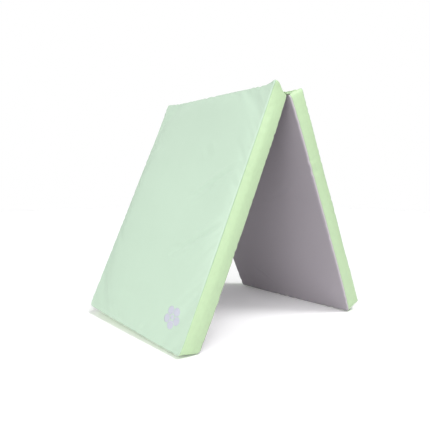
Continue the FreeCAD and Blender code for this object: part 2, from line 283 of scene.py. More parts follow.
# ---- Swelling: cloth simulation presses the cover out as the foam inside does
SWELL_FRAMES = 12
SWELL_CAP = 6 * MM  # the furthest that any point moves
SWELL_PRESSURE = {"left": 0.6, "right": 0.52}
HINGE_BULGE = 2.5 * MM  # opened flat, the hinge walls face each other
BASE_DIP = 2 * MM  # how far the base face may sink between its wrinkles
BAND_BULGE = {"left": 11 * MM, "right": 6 * MM}  # long bands, at mid-length
HELD_BY_STRIP = 18 * MM  # the part of the hinge wall that the strip is sewn to
HELD_BY_ZIP = 6 * MM  # the part of the hinge wall beside the zip
OVER_TAPE = 16 * MM  # the part of the hinge wall that lies on the zip's tapes
TAPE_ROOM = 0.3 * MM  # how far the cloth may sink there


def set_group(made, name, weights):
    """Adds a vertex group with one weight for each point."""
    group = made.vertex_groups.new(name=name)
    for index in np.nonzero(weights)[0]:
        group.add([int(index)], float(weights[index]), "REPLACE")


def held_points(points):
    """True where the hinge wall is sewn to the strip or to the zip."""
    x, y, z = points.T
    on_wall = x < HINGE_WALL + 0.1 * MM
    by_strip = z < BASE + HELD_BY_STRIP
    by_zip = np.abs(z - MID_LEVEL) < HELD_BY_ZIP
    return on_wall & (by_strip | by_zip)


# Weights of the rows of points: how far each is pinned, and how far it shrinks.
HOLD = {"roll": 0.3, "band": 0.3, "slot_edge": 0.3, "slot": 0.3, "top_seam": 0.6, "base_seam": 0.6}
SHRINK = {"roll": 0.6, "top_seam": 1, "base_seam": 1}
CLOTH_SETTINGS = {
    "use_pressure": True, "tension_stiffness": 60, "compression_stiffness": 10,
    "shear_stiffness": 10, "vertex_group_mass": "hold",
    "vertex_group_shrink": "shrink", "shrink_max": 0.02,
}


def simulated(points, quads, names, pressure):
    """How far cloth simulation moves each point of the cover."""
    cover = mesh_object("cover_simulation", points, quads)
    hold = np.array([HOLD.get(name, 0) for name in names])
    hold[held_points(points)] = 1
    shrink = np.array([SHRINK.get(name, 0) for name in names])
    set_group(cover, "hold", hold)
    set_group(cover, "shrink", shrink)

    cloth = cover.modifiers.new("cloth", "CLOTH")
    for name, value in CLOTH_SETTINGS.items():
        setattr(cloth.settings, name, value)
    cloth.settings.uniform_pressure_force = pressure
    cloth.settings.effector_weights.gravity = 0
    cloth.collision_settings.use_collision = False
    cloth.point_cache.frame_start = 1
    cloth.point_cache.frame_end = SWELL_FRAMES

    for number in range(1, SWELL_FRAMES + 1):
        scene.frame_set(number)
    final = evaluated(cover, mesh_points)
    bpy.data.objects.remove(cover)
    scene.frame_set(1)
    return final - points


def capped(shift, limit):
    """Shifts shortened smoothly, so that none is longer than the limit."""
    length = np.linalg.norm(shift, axis=1, keepdims=True) + 1e-9
    return shift * np.tanh(length / limit) * limit / length


def band_bulge(points, side):
    """How far the foam pushes the long bands out, most towards the base."""
    x, y, z = points.T
    along = (x - HINGE_WALL) / (FREE_END - HINGE_WALL) * 2 - 1
    down = (TOP - z) / (TOP - BASE)
    inset = HALF_WIDTH - np.abs(y)
    share = np.clip(1 - np.abs(along) ** 4, 0, 1) * np.exp(-inset / (30 * MM))
    share *= smoothstep(down, 0, 0.45) * (1 - 0.3 * smoothstep(down, 0.6, 1))
    return shifts(Y, np.sign(y) * BAND_BULGE[side] * share)


def swollen(points, quads, names, side):
    """The cover's points after swelling, kept out of the neighbours' room."""
    shift = capped(simulated(points, quads, names, SWELL_PRESSURE[side]), SWELL_CAP)
    low = points[:, 2] < BASE + BASE_RADIUS + 0.1 * MM
    shift[low, 2] = BASE_DIP * np.tanh(np.maximum(shift[low, 2], 0) / BASE_DIP)
    at_hinge = points[:, 0] < HINGE_WALL + BASE_RADIUS + 0.1 * MM
    outward = np.minimum(shift[at_hinge, 0], 0)
    limited = HINGE_BULGE * np.tanh(outward / HINGE_BULGE)
    shift[at_hinge, 0] += limited - outward
    shift[held_points(points)] = 0
    return points + shift + band_bulge(points, side)


def read_faces(mesh):
    """Points, normals, quads and the quads' regions of a mesh."""
    corners = read_all(mesh.loops, "vertex_index", 1, int).reshape(-1, 4)
    regions = read_all(mesh.polygons, "material_index", 1, int)[:, 0]
    return mesh_points(mesh), read_all(mesh.vertices, "normal", 3), corners, regions


def subdivided(points, quads, regions):
    """Catmull-Clark subdivision, once: points, normals, faces and their regions."""
    made = mesh_object("cover_subdivision", points, quads)
    made.data.polygons.foreach_set("material_index", regions)
    made.modifiers.new("subdivision", "SUBSURF").levels = 1
    fine = evaluated(made, read_faces)
    bpy.data.objects.remove(made)
    return fine


# ---- Sculpting: puckers beside the seams, creases, corner ears and the floor
PUCKER_REACH = 14 * MM  # how far from a seam the puckers fade out
PUCKER_HEIGHT = 0.75 * MM
PUCKER_LIMIT = 2.0 * MM
WAVER_HEIGHT = 0.7 * MM  # long waves over the whole cover
SETTLE = 1.5 * MM  # how far the free end is pressed down on the floor
SETTLE_FROM = 800 * MM
FLOOR_GAP = 0.2 * MM


def waves(draw, shortest, longest, count, where):
    """A seeded sum of sines along one coordinate, with unit root mean square."""
    turns = 2 * math.pi / draw.uniform(shortest, longest, count)
    phases = draw.uniform(0, 2 * math.pi, count)
    total = sum(np.sin(turn * where + phase) for turn, phase in zip(turns, phases))
    return total * math.sqrt(2 / count)


def insets(rest):
    """How far inside the panel's four walls each point is, along X and along Y."""
    x, y, z = rest.T
    inset_x = np.minimum(x - HINGE_WALL, FREE_END - x)
    inset_y = HALF_WIDTH - np.abs(y)
    return np.maximum(inset_x, 0), np.maximum(inset_y, 0)


def puckers(rest, side, draw):
    """Short ripples across the two seams that run round the panel."""
    x, y, z = rest.T
    inset_x, inset_y = insets(rest)
    beside_long = inset_y < inset_x
    along = np.where(beside_long, x, y + 3)
    corner_fade = smoothstep(np.abs(inset_x - inset_y), 0, 25 * MM)
    inset = np.minimum(inset_x, inset_y)
    wall = np.sign(np.where(beside_long, y, x - FREE_END / 2))
    height = np.zeros(len(rest))
    for seam_level in (TOP - TOP_SEAM, BASE + BASE_SEAM[side]):
        for wall_sign in (-1, 1):
            ripple = waves(draw, 24 * MM, 70 * MM, 7, along)
            groups = waves(draw, 90 * MM, 400 * MM, 4, along)
            distance = np.abs(z - seam_level) + inset
            profile = 1 - 0.6 * np.exp(-distance / (3 * MM))
            profile *= np.exp(-distance / PUCKER_REACH)
            strength = np.clip(0.75 + 0.6 * groups, 0.15, 2)
            height += (wall == wall_sign) * profile * strength * (ripple - 0.25 * ripple ** 2)
    near_hinge = np.exp(-x / (130 * MM))
    near_free_end = np.exp(-(FREE_END - x) / (60 * MM))
    emphasis = 1 + 0.9 * near_hinge + 0.2 * near_free_end
    height *= PUCKER_HEIGHT * corner_fade * emphasis
    return PUCKER_LIMIT * np.tanh(height / PUCKER_LIMIT)


def waver(rest, draw):
    """Long shallow waves, as foam and fabric are never quite flat."""
    height = np.zeros(len(rest))
    for _ in range(5):
        angle = draw.uniform(0, math.pi)
        across = rest[:, 0] * math.cos(angle) + rest[:, 1] * math.sin(angle)
        height += waves(draw, 130 * MM, 420 * MM, 2, across + rest[:, 2])
    return WAVER_HEIGHT * height / 5


def distance_to_line(rest, line):
    """Distance from each point to a line of straight runs, seen from above, and
    how far along the line, from 0 to 1, the nearest point is."""
    nearest = np.full(len(rest), 1e9)
    share = np.zeros(len(rest))
    runs = len(line) - 1
    for number in range(runs):
        start = np.array(line[number]) * MM
        run = np.array(line[number + 1]) * MM - start
        along = np.clip((rest[:, :2] - start) @ run / (run @ run), 0, 1)
        gap = np.linalg.norm(rest[:, :2] - start - along[:, None] * run, axis=1)
        closer = gap < nearest
        nearest[closer] = gap[closer]
        share[closer] = (number + along[closer]) / runs
    return nearest, share


def crease(rest, line, depth, width):
    """A soft valley along a line with a low ridge on each side of it."""
    gap, share = distance_to_line(rest, line)
    fade = np.sin(math.pi * np.clip(share, 0.04, 0.96)) ** 0.7
    out = gap / (width * MM)
    profile = 0.8 * np.exp(-((out - 1.9) / 0.9) ** 2) - np.exp(-out ** 2)
    return depth * MM * fade * profile


# Soft creases of each face, in millimetres: (line of X, Y points, depth, width).
TOP_CREASES = {
    "left": [
        ([(340, 323), (406, 217), (482, 117)], 3.6, 10),
        ([(555, 340), (611, 267), (705, 117)], 3.6, 10),
        ([(249, 93), (313, 139)], 0.9, 16),
        ([(915, -250), (880, -120), (900, 60)], 0.7, 18),
    ],
    "right": [
        ([(300, -300), (380, -190), (440, -60)], 1.2, 12),
        ([(620, 320), (690, 210), (720, 50)], 1.2, 13),
        ([(860, -180), (800, -60)], 0.9, 16),
    ],
}
BASE_CREASES = {
    "left": [
        ([(200, 300), (290, 180), (330, 20)], 1.0, 11),
        ([(640, -310), (720, -150), (740, 10)], 1.0, 12),
    ],
    "right": [
        ([(834, 206), (854, 177), (902, 101), (966, 27)], 2.2, 7),
        ([(300, -290), (420, -160), (470, 0)], 1.0, 12),
        ([(560, 310), (640, 190), (760, 120)], 0.9, 12),
    ],
}

# Puffed corners, in millimetres: (end, 1 near or -1 far, depth below the top face,
# shift outwards along X and Y and up along Z, reach).
EARS = {
    "left": [
        ("hinge", 1, 0, (9, 7, 3), 26),
        ("hinge", 1, 26, (13, 3, 0), 24),
        ("hinge", -1, 0, (6, 1, 2), 60),
        ("free", 1, 0, (2, 1.5, 1), 18),
        ("free", -1, 0, (-2, -1.5, 0), 18),
    ],
    "right": [
        ("hinge", 1, 0, (4, 1, 1.5), 20),
        ("hinge", -1, 0, (4, 1, 2), 22),
        ("free", 1, 0, (2, 1.5, 1), 18),
        ("free", -1, 0, (2, 1.5, 1), 18),
    ],
}
EDGE_SAG = 3 * MM  # the hinge end's top edge between its two corners
FOOTING = {"left": 26 * MM, "right": 0}  # at the near corner; none at the far one
FOOT_LIFT = {"left": 8 * MM, "right": 0}  # the inner edge, at the far corner
FOOTING_FROM = 880 * MM
SEAM_RISE = 3 * MM  # how far the top seam runs up at the free end
SEAM_RISE_FROM = 640 * MM
SEAM_RISE_TO = 130 * MM


def corner_ears(rest, side):
    """How far the puffed corners stand out."""
    shift = np.zeros_like(rest)
    for end, near_sign, depth, out, reach in EARS[side]:
        x_sign = -1 if end == "hinge" else 1
        y_sign = -FAR[side] * near_sign
        corner_x = HINGE_WALL if end == "hinge" else FREE_END
        corner = np.array([corner_x, y_sign * HALF_WIDTH, TOP - depth * MM])
        gap = np.linalg.norm(rest - corner, axis=1)
        weight = np.exp(-(gap / (reach * MM)) ** 2)[:, None]
        shift += weight * np.array(out) * (x_sign, y_sign, 1) * MM
    return shift


def edge_sag(rest):
    """The top edge at the hinge end hangs lower between its corners."""
    x, y, z = rest.T
    between = 1 - np.abs(y / HALF_WIDTH) ** 8
    at_edge = np.exp(-(x - HINGE_WALL) / (30 * MM))
    at_edge *= smoothstep(z, MID_LEVEL, TOP)
    return shifts(X, EDGE_SAG * between * at_edge)


def footing(rest, side):
    """The free end, pressed down at its outer near corner and up at its inner far one."""
    x, y, z = rest.T
    near = np.clip((1 - FAR[side] * y / HALF_WIDTH) / 2, 0, 1)
    outer = np.clip((z - BASE) / (TOP - BASE), 0, 1)
    at_end = smoothstep(x, FOOTING_FROM, FREE_END)
    down = FOOTING[side] * near * outer
    up = FOOT_LIFT[side] * (1 - near) * (1 - outer)
    return shifts(X, at_end * (down - up))


def seam_rise(rest):
    """The top seam runs up towards the corner near the free end and the hinge."""
    x, y, z = rest.T
    seam_level = TOP - TOP_SEAM
    rise = SEAM_RISE * smoothstep(x, SEAM_RISE_FROM, FREE_END)
    rise += 0.35 * SEAM_RISE * smoothstep(x, SEAM_RISE_TO, 0)
    above = np.clip((TOP - z) / TOP_SEAM, 0, 1)
    below = np.clip((z - MID_LEVEL) / (seam_level - MID_LEVEL), 0, 1)
    return shifts(Z, rise * np.minimum(above, below))


def settled(points, side):
    """Presses the free end down on the floor, which flattens the edge it stands on.
    Nothing passes the base face, as the two panels' base faces meet when folded."""
    world = moved(points, PLACES[side])
    world[:, 2] -= SETTLE * smoothstep(points[:, 0], SETTLE_FROM, FREE_END)
    world[:, 2] = np.maximum(world[:, 2], FLOOR_GAP)
    placed = moved(world, np.linalg.inv(np.array(PLACES[side])))
    placed[:, 2] = np.maximum(placed[:, 2], BASE)
    return placed


def sculpted(rest, points, normals, side):
    """The finished shape of one panel's cover, in the panel frame."""
    x, y, z = rest.T
    draw = np.random.default_rng({"left": 11, "right": 23}[side])
    height = puckers(rest, side, draw) + waver(rest, draw)
    upper = smoothstep(z, MID_LEVEL, TOP - TOP_SEAM)
    lower = smoothstep(z, MID_LEVEL, BASE + BASE_RADIUS)
    for share, creases in ((upper, TOP_CREASES[side]), (lower, BASE_CREASES[side])):
        for shape in creases:
            height += share * crease(rest, *shape)
    on_base = z < BASE + 1 * MM
    height[on_base] = np.minimum(height[on_base], 0.2 * MM)
    over_tape = (x < HINGE_WALL + 0.1 * MM) & (np.abs(z - MID_LEVEL) < OVER_TAPE)
    height[over_tape] = np.maximum(height[over_tape], -TAPE_ROOM)
    height[held_points(rest)] = 0
    shaped = points + normals * height[:, None]
    shaped += corner_ears(rest, side) + edge_sag(rest) + seam_rise(rest) + footing(rest, side)
    return settled(shaped, side)


# ---- Materials: all made of nodes, in the object's own coordinates
def srgb(red, green, blue):
    """A colour given as 0 to 255, in the linear values that shaders use."""
    linear = []
    for value in (red, green, blue):
        value /= 255
        linear.append(value / 12.92 if value <= 0.04045 else ((value + 0.055) / 1.055) ** 2.4)
    return (*linear, 1)


MIX_A, MIX_B, MIX_RESULT = 6, 7, 2  # a Mix node's colour sockets


def feed(node, inputs):
    """Sets a node's inputs, each to a value or to another node's output."""
    for key, value in dict(inputs).items():
        if isinstance(value, bpy.types.NodeSocket):
            node.id_data.links.new(value, node.inputs[key])
        else:
            node.inputs[key].default_value = value


def add_node(tree, kind, inputs=(), **settings):
    """A new node with its settings and inputs."""
    made = tree.nodes.new(kind)
    for name, value in settings.items():
        setattr(made, name, value)
    feed(made, inputs)
    return made


class Surface:
    """A material being built round one Principled shader. Its textures are placed
    by the mesh's "place" attribute, or on a CAD node by the node's coordinates."""

    def __init__(self, name, roughness, metallic=0.0, sheen=0.0, on_cad=False):
        self.material = bpy.data.materials.new(name)
        self.material.use_nodes = True
        self.tree = self.material.node_tree
        self.shader = self.tree.nodes["Principled BSDF"]
        feed(self.shader, {"Roughness": roughness, "Metallic": metallic, "Sheen Weight": sheen})
        if on_cad:
            self.place = self.node("ShaderNodeTexCoord").outputs["Object"]
        else:
            self.place = self.attribute("place", "Vector")

    def node(self, kind, inputs=(), **settings):
        return add_node(self.tree, kind, inputs, **settings)

    def mapped(self, **inputs):
        """The surface's coordinates, scaled or turned."""
        inputs["Vector"] = self.place
        return self.node("ShaderNodeMapping", inputs).outputs["Vector"]

    def noise(self, scale, detail=2.0, stretch=(1, 1, 1)):
        """Noise from 0 to 1, with scale cells to the metre."""
        inputs = {"Vector": self.mapped(Scale=stretch), "Scale": scale, "Detail": detail}
        return self.node("ShaderNodeTexNoise", inputs).outputs["Fac"]

    def cells(self, scale, feature="F1"):
        """Distance to the nearest cell centre, with scale cells to the metre."""
        inputs = {"Vector": self.place, "Scale": scale}
        return self.node("ShaderNodeTexVoronoi", inputs, feature=feature).outputs["Distance"]

    def stripes(self, pitch, direction, turn):
        """Sine stripes, one for every pitch metres along X, Y or Z."""
        inputs = {"Vector": self.mapped(Rotation=turn), "Scale": math.pi / 10 / pitch}
        return self.node("ShaderNodeTexWave", inputs, bands_direction=direction).outputs["Fac"]

    def maths(self, operation, first, second):
        inputs = {0: first, 1: second}
        return self.node("ShaderNodeMath", inputs, operation=operation).outputs["Value"]

    def ranged(self, value, low, high):
        """A value from 0 to 1, mapped to the range from low to high."""
        inputs = {"Value": value, "To Min": low, "To Max": high}
        return self.node("ShaderNodeMapRange", inputs).outputs["Result"]

    def attribute(self, name, output="Fac"):
        return self.node("ShaderNodeAttribute", attribute_name=name).outputs[output]

    def blend(self, share, first, second):
        """A colour between two, each a colour or another node's output."""
        inputs = {"Factor": share, MIX_A: first, MIX_B: second}
        return self.node("ShaderNodeMix", inputs, data_type="RGBA").outputs[MIX_RESULT]

    def colour(self, output):
        feed(self.shader, {"Base Color": output})

    def rough(self, output):
        feed(self.shader, {"Roughness": output})

    def bumps(self, *layers):
        """Bump layers, each (height output, depth in metres, strength)."""
        inputs = {}
        for height, depth, strength in layers:
            inputs |= {"Height": height, "Distance": depth, "Strength": strength}
            inputs["Normal"] = self.node("ShaderNodeBump", inputs).outputs["Normal"]
        feed(self.shader, {"Normal": inputs["Normal"]})


def scaled(colour, factor):
    """A colour made lighter or darker."""
    return (*[min(channel * factor, 1) for channel in colour[:3]], 1)


def coated_fabric(name, colour, seam_painted_shade, mottle):
    """Soft vinyl with a fine leather grain. It is darker at its seams: painted shade in the seam
    grooves, with some dust.
    """
    look = Surface(name, roughness=0.5)
    patches = look.noise(3.5, detail=3)
    tone = look.blend(patches, scaled(colour, 0.965), scaled(colour, 1.03))
    cloudy = look.noise(120, detail=3, stretch=(0.5, 1, 1))
    tone = look.blend(look.ranged(cloudy, -mottle, 2 * mottle), tone, scaled(colour, 0.5))
    specks = look.noise(900, detail=1)
    tone = look.blend(look.ranged(specks, 0, 0.16), tone, scaled(colour, 0.86))
    # Darker at the seams: painted shade in the grooves, with some dust.
    seam_dust_and_shade = look.attribute("seam_dust_and_shade")
    look.colour(look.blend(seam_dust_and_shade, tone, seam_painted_shade))
    scuffs = look.noise(14, detail=4, stretch=(1, 2.2, 1))
    look.rough(look.ranged(scuffs, 0.43, 0.60))
    look.bumps(
        (look.cells(650, feature="SMOOTH_F1"), 0.25 * MM, 0.28),
        (look.noise(1700, detail=1), 0.1 * MM, 0.20),
        (look.noise(60, detail=2), 1.0 * MM, 0.08),
    )
    return look.material


def woven_fabric(name, colour, dark, pitch, turn=(0, 0, 0), on_cad=False):
    """Plain weave: two sets of threads, over and under, with uneven threads. It has a painted
    highlight where it turns over the edge and painted shade at its seams.
    """
    look = Surface(name, roughness=0.75, sheen=0.15, on_cad=on_cad)
    warp = look.stripes(pitch, "X", turn)
    weft = look.stripes(pitch, "Y", turn)
    over = look.maths("MULTIPLY", warp, weft)
    under = look.maths("MULTIPLY", look.maths("SUBTRACT", 1, warp),
                       look.maths("SUBTRACT", 1, weft))
    weave = look.maths("ADD", over, under)
    uneven = look.noise(9, detail=4)
    tone = look.blend(uneven, scaled(colour, 0.95), scaled(colour, 1.04))
    slubs = look.noise(420, detail=1, stretch=(1, 0.12, 1))
    tone = look.blend(look.ranged(slubs, 0, 0.30), tone, scaled(colour, 0.85))
    gaps = look.ranged(weave, 0.35, 0)
    tone = look.blend(gaps, tone, dark)
    # A painted highlight: paler where the base sheet turns over the panel's edge, as if lit there.
    tone = look.blend(look.attribute("painted_rim_highlight"), tone, scaled(colour, 1.45))
    # Darker at the seams: painted shade in the grooves, with some dust.
    seam_dust_and_shade = look.attribute("seam_dust_and_shade")
    look.colour(look.blend(seam_dust_and_shade, tone, dark))
    look.rough(look.ranged(uneven, 0.66, 0.84))
    look.bumps(
        (weave, 0.2 * MM, 0.5),
        (look.noise(45, detail=3), 1.2 * MM, 0.12),
    )
    return look.material


def foam_material():
    """Open-cell foam: pale, matt and full of pores."""
    look = Surface("foam_cells", roughness=0.95)
    pores = look.cells(520)
    fine = look.cells(1300)
    both = look.maths("MULTIPLY", pores, fine)
    look.colour(look.blend(look.ranged(both, 0, 1.6),
                           srgb(176, 168, 140), srgb(232, 226, 200)))
    look.bumps((pores, 0.8 * MM, 0.8), (fine, 0.4 * MM, 0.6))
    return look.material


def patchy(name, scale, detail, shades, rough, metallic=0.0, on_cad=False):
    """A surface whose tone and gloss vary in patches, scale of them to the metre."""
    look = Surface(name, rough[0], metallic, on_cad=on_cad)
    patches = look.noise(scale, detail)
    look.colour(look.blend(patches, *shades))
    look.rough(look.ranged(patches, *rough))
    return look


def zinc_material():
    """Cast and plated zinc, with fine scratches and a few dull patches."""
    shades = (srgb(178, 180, 182), srgb(205, 206, 206))
    look = patchy("zip_zinc", 160, 3, shades, (0.22, 0.42), metallic=1.0, on_cad=True)
    look.bumps((look.noise(1500, detail=2, stretch=(1, 0.08, 1)), 0.05 * MM, 0.3))
    return look.material


def moulded_material(name, colour, roughness):
    """A moulded or extruded plastic, slightly uneven in tone and gloss."""
    shades = (scaled(colour, 0.93), scaled(colour, 1.05))
    look = patchy(name, 300, 3, shades, (roughness - 0.06, roughness + 0.08))
    look.bumps((look.noise(2500, detail=1), 0.04 * MM, 0.3))
    return look.material


def ink_material():
    """Screen printing ink: thin and matt, so that the vinyl's grain shows in it."""
    shades = (srgb(170, 171, 184), srgb(184, 185, 197))
    look = patchy("print_ink_film", 260, 4, shades, (0.52, 0.70))
    look.bumps((look.cells(650, feature="SMOOTH_F1"), 0.2 * MM, 0.25))
    return look.material


MINT = srgb(177, 198, 179)
GREEN = srgb(181, 206, 166)
LAVENDER = srgb(160, 154, 160)
LAVENDER_DARK = srgb(108, 102, 111)
TAPE = srgb(150, 186, 140)

# The thread has no slot of its own in the record; the others are named as there.
MATERIALS = {
    # The colour after each vinyl's own colour is its painted seam shade.
    "mint_vinyl": coated_fabric("mint_vinyl_grain", MINT, srgb(150, 180, 152), 0.02),
    "green_vinyl": coated_fabric("green_vinyl_grain", GREEN, srgb(138, 172, 118), 0.08),
    "lavender_base_fabric": woven_fabric("lavender_weave", LAVENDER, LAVENDER_DARK, 0.9 * MM),
    "foam": foam_material(),
    "zip_metal": zinc_material(),
    "zip_chain": moulded_material("zip_teeth_nylon", srgb(168, 204, 156), 0.38),
    "print_ink": ink_material(),
    "thread": moulded_material("sewing_thread", srgb(190, 222, 176), 0.55),
}
TAPE_MATERIALS = {
    side: woven_fabric("zip_tape_weave_" + side, TAPE, srgb(96, 128, 90), 0.7 * MM,
                       turn=(0, (LEAN - math.pi / 2) * (1 if side == "right" else -1), 0),
                       on_cad=True)
    for side in PLACES
}


# ---- Cover pieces: cut at the seams, their borders turned down into the grooves
SEAM_ROLL = 1.4 * MM  # how wide a border curves down into its seam
SEAM_DEPTH = 1.3 * MM
SEAM_GAP = 0.25 * MM  # from a border to the middle of its seam
SEAM_ALLOWANCE = 2.5 * MM  # how far the cloth goes on, inside the cover
HEM_DEPTH = 0.25 * MM  # along the zip, where a border stays on top of the tape


def beside_zip(vertex):
    """True on a border that the zip's slot leaves open."""
    near_slot = abs(vertex.co.z - MID_LEVEL) < SLOT_HALF + 1.5 * MM
    return near_slot and vertex.co.x < HINGE_WALL + 4 * MM and abs(vertex.co.y) < SLOT_END


def turn_in_border(shell):
    """Curves a piece's border down into its seam and adds the seam allowance."""
    for width in (SEAM_ROLL, SEAM_ROLL / 2):
        bmesh.ops.inset_region(shell, faces=shell.faces[:], thickness=width,
                               use_boundary=True, use_even_offset=False)
    shell.normal_update()
    # Painted shade in the seam groove, with some dust: 1 on the border and its allowance, 0.35 one
    # row in.
    seam_dust_and_shade = shell.verts.layers.float.new("seam_dust_and_shade")
    border = [vertex for vertex in shell.verts
              if any(edge.is_boundary for edge in vertex.link_edges)]
    on_border = set(border)
    normals = {vertex: vertex.normal.copy() for vertex in shell.verts}
    inward, second = {}, set()
    for vertex in border:
        neighbours = [edge.other_vert(vertex) for edge in vertex.link_edges]
        inner = [other for other in neighbours if other not in on_border]
        middle = sum((other.co for other in inner), Vector()) / max(len(inner), 1)
        inward[vertex] = (middle - vertex.co).normalized() if inner else Vector()
        second.update(inner)
    for vertex in second:
        depth = 0 if beside_zip(vertex) else 0.3 * SEAM_DEPTH
        vertex.co -= normals[vertex] * depth
        vertex[seam_dust_and_shade] = 0.35
    for vertex in border:
        depth = HEM_DEPTH if beside_zip(vertex) else SEAM_DEPTH
        vertex.co += inward[vertex] * SEAM_GAP - normals[vertex] * depth
        vertex[seam_dust_and_shade] = 1.0
    edges = [edge for edge in shell.edges
             if edge.is_boundary and not any(beside_zip(vertex) for vertex in edge.verts)]
    downs = {vertex.co.copy().freeze(): normals[vertex] for edge in edges for vertex in edge.verts}
    made = bmesh.ops.extrude_edge_only(shell, edges=edges)["geom"]
    for vertex in [item for item in made if isinstance(item, bmesh.types.BMVert)]:
        vertex.co -= downs[vertex.co.copy().freeze()] * SEAM_ALLOWANCE
        vertex[seam_dust_and_shade] = 1.0


def cover_piece(name, points, faces):
    """One sewn piece of a panel's cover, as thick as the cloth."""
    used, faces = np.unique(faces, return_inverse=True)
    faces = faces.reshape(-1, 4)
    piece = mesh_object(name, points[used], faces.tolist())
    shell = bmesh.new()
    shell.from_mesh(piece.data)
    turn_in_border(shell)
    for face in shell.faces:
        face.smooth = True
    shell.to_mesh(piece.data)
    shell.free()
    thickness = piece.modifiers.new("cloth_thickness", "SOLIDIFY")
    thickness.thickness = CLOTH
    thickness.offset = -1
    return piece


def mark_places(made):
    """Keeps the vertex positions as an attribute, which textures are placed by."""
    places = made.data.attributes.new("place", "FLOAT_VECTOR", "POINT")
    places.data.foreach_set("vector", mesh_points(made.data).ravel())


def finish_piece(piece, side, material, nodes=()):
    """Places a piece made in the panel frame, with its material and its body."""
    mark_places(piece)
    piece.data.transform(PLACES[side])
    for vertex in piece.data.vertices:
        vertex.co.z = max(vertex.co.z, FLOOR_GAP)
    piece.data.materials.append(MATERIALS[material])
    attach(piece, side + "_panel")
    if nodes:
        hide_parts(*nodes)


def piece_plan(side):
    """The pieces of a cover: (region, CAD node, name, material slot)."""
    low, high = ("back", "front") if side == "left" else ("front", "back")
    bands = {"low_band": low + "_band", "high_band": high + "_band"}
    bands |= {band: band for band in ("end_band", "hinge_band_upper", "hinge_band_lower")}
    plan = [("top", "top_sheet", "top_cover", "mint_vinyl"),
            ("base", "base_sheet", "base_cover", "lavender_base_fabric")]
    return plan + [(region, band, band + "_cover", "green_vinyl")
                   for region, band in bands.items()]


RIM_HIGHLIGHT_LEVELS = (2.5 * MM, 5 * MM)  # above the base face, from none of the painted highlight to all of it
RIM_HIGHLIGHT_INSETS = (14 * MM, 8 * MM)  # inside the walls, likewise


def mark_painted_rim_highlight(piece):
    """Marks where the base sheet turns over the panel's edge, for a painted highlight there, as if
    it caught the light.
    """
    points = mesh_points(piece.data)
    inset_x, inset_y = insets(points)
    turned = smoothstep(points[:, 2] - BASE, *RIM_HIGHLIGHT_LEVELS)
    outer = smoothstep(np.minimum(inset_x, inset_y), *RIM_HIGHLIGHT_INSETS)
    painted_rim_highlight = piece.data.attributes.new("painted_rim_highlight", "FLOAT", "POINT")
    painted_rim_highlight.data.foreach_set("value", turned * outer)


FOAM_INSET = 6.5 * MM


def make_panel(side):
    """The cover pieces and the foam of one panel. Returns the cover's top piece."""
    points, quads, regions, names = build_cover(side)
    puffed = swollen(points, quads, names, side)
    rest = subdivided(points, quads, regions)[0]
    fine, normals, faces, fine_regions = subdivided(puffed, quads, regions)
    shaped = sculpted(rest, fine, normals, side)
    pieces = {}
    for region, node, name, slot in piece_plan(side):
        chosen = faces[fine_regions == REGIONS.index(region)]
        piece = cover_piece(side + "_" + name, shaped, chosen)
        if region == "base":
            mark_painted_rim_highlight(piece)
        finish_piece(piece, side, slot, nodes=[side + "_" + node])
        pieces[region] = piece

    inner = settled(puffed, side)
    centre = np.array([(HINGE_WALL + FREE_END) / 2, 0, MID_LEVEL])
    half = np.array([(FREE_END - HINGE_WALL) / 2, HALF_WIDTH, (TOP - BASE) / 2])
    inner = centre + (inner - centre) * (1 - FOAM_INSET / half)
    foam = mesh_object(side + "_foam_block", inner, quads)
    finish_piece(foam, side, "foam", nodes=[side + "_foam_core"])
    return pieces["top"]


TOP_PIECES = {side: make_panel(side) for side in PLACES}


# ---- Hinge: a strip of doubled cloth that bridges the ridge, sewn to both walls
STRIP_LOW, STRIP_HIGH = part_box("hinge_strip")
STRIP_HALF = (STRIP_HIGH.y - STRIP_LOW.y) / 2
STRIP_STATIONS = 116
STRIP_ROUNDING = 1 * MM  # its ends are rounded off over this
STRIP_WAVER = 0.25 * MM
# Half of the strip's section, from its hem to the ridge along the top and back
# along the underside: (X, Z) in the panel frame.
STRIP_TOP = [(4.75, 16.9), (4.1, 17.0), (3.75, 16.4), (3.7, 14.5), (3.85, 12.0),
             (3.6, 9.0), (3.3, 6.2), (2.7, 3.8), (1.9, 1.9)]
STRIP_UNDER = [(4.9, 2.4), (5.0, 5.0), (5.0, 9.0), (5.0, 13.0), (4.95, 16.2)]
STRIP_NOTCH = 1.0 * MM  # how far under the ridge the top surface dips
STRIP_BELLY = 4.3 * MM  # how far under the ridge the underside hangs


def in_row(side, line):
    """Points of a panel's section in millimetres, as X and Z in the row frame."""
    placed = [PLACES[side] @ Vector((x * MM, 0, z * MM)) for x, z in line]
    return [(point.x, point.z) for point in placed]


def strip_section():
    """The closed section of the hinge strip in the row frame."""
    return (in_row("left", STRIP_TOP) + [(0, RIDGE.z - STRIP_NOTCH)]
            + in_row("right", STRIP_TOP[::-1]) + in_row("right", STRIP_UNDER[::-1])
            + [(0, RIDGE.z - STRIP_BELLY)] + in_row("left", STRIP_UNDER))


def lofted(rings):
    """Points and faces of a closed form through rings of points."""
    points = [point for ring in rings for point in ring]
    count = len(rings[0])
    faces = []
    for number in range(len(rings) - 1):
        for k in range(count):
            here, following = number * count + k, number * count + (k + 1) % count
            faces.append([here, following, following + count, here + count])
    faces.append(list(reversed(range(count))))
    faces.append([(len(rings) - 1) * count + k for k in range(count)])
    return points, faces


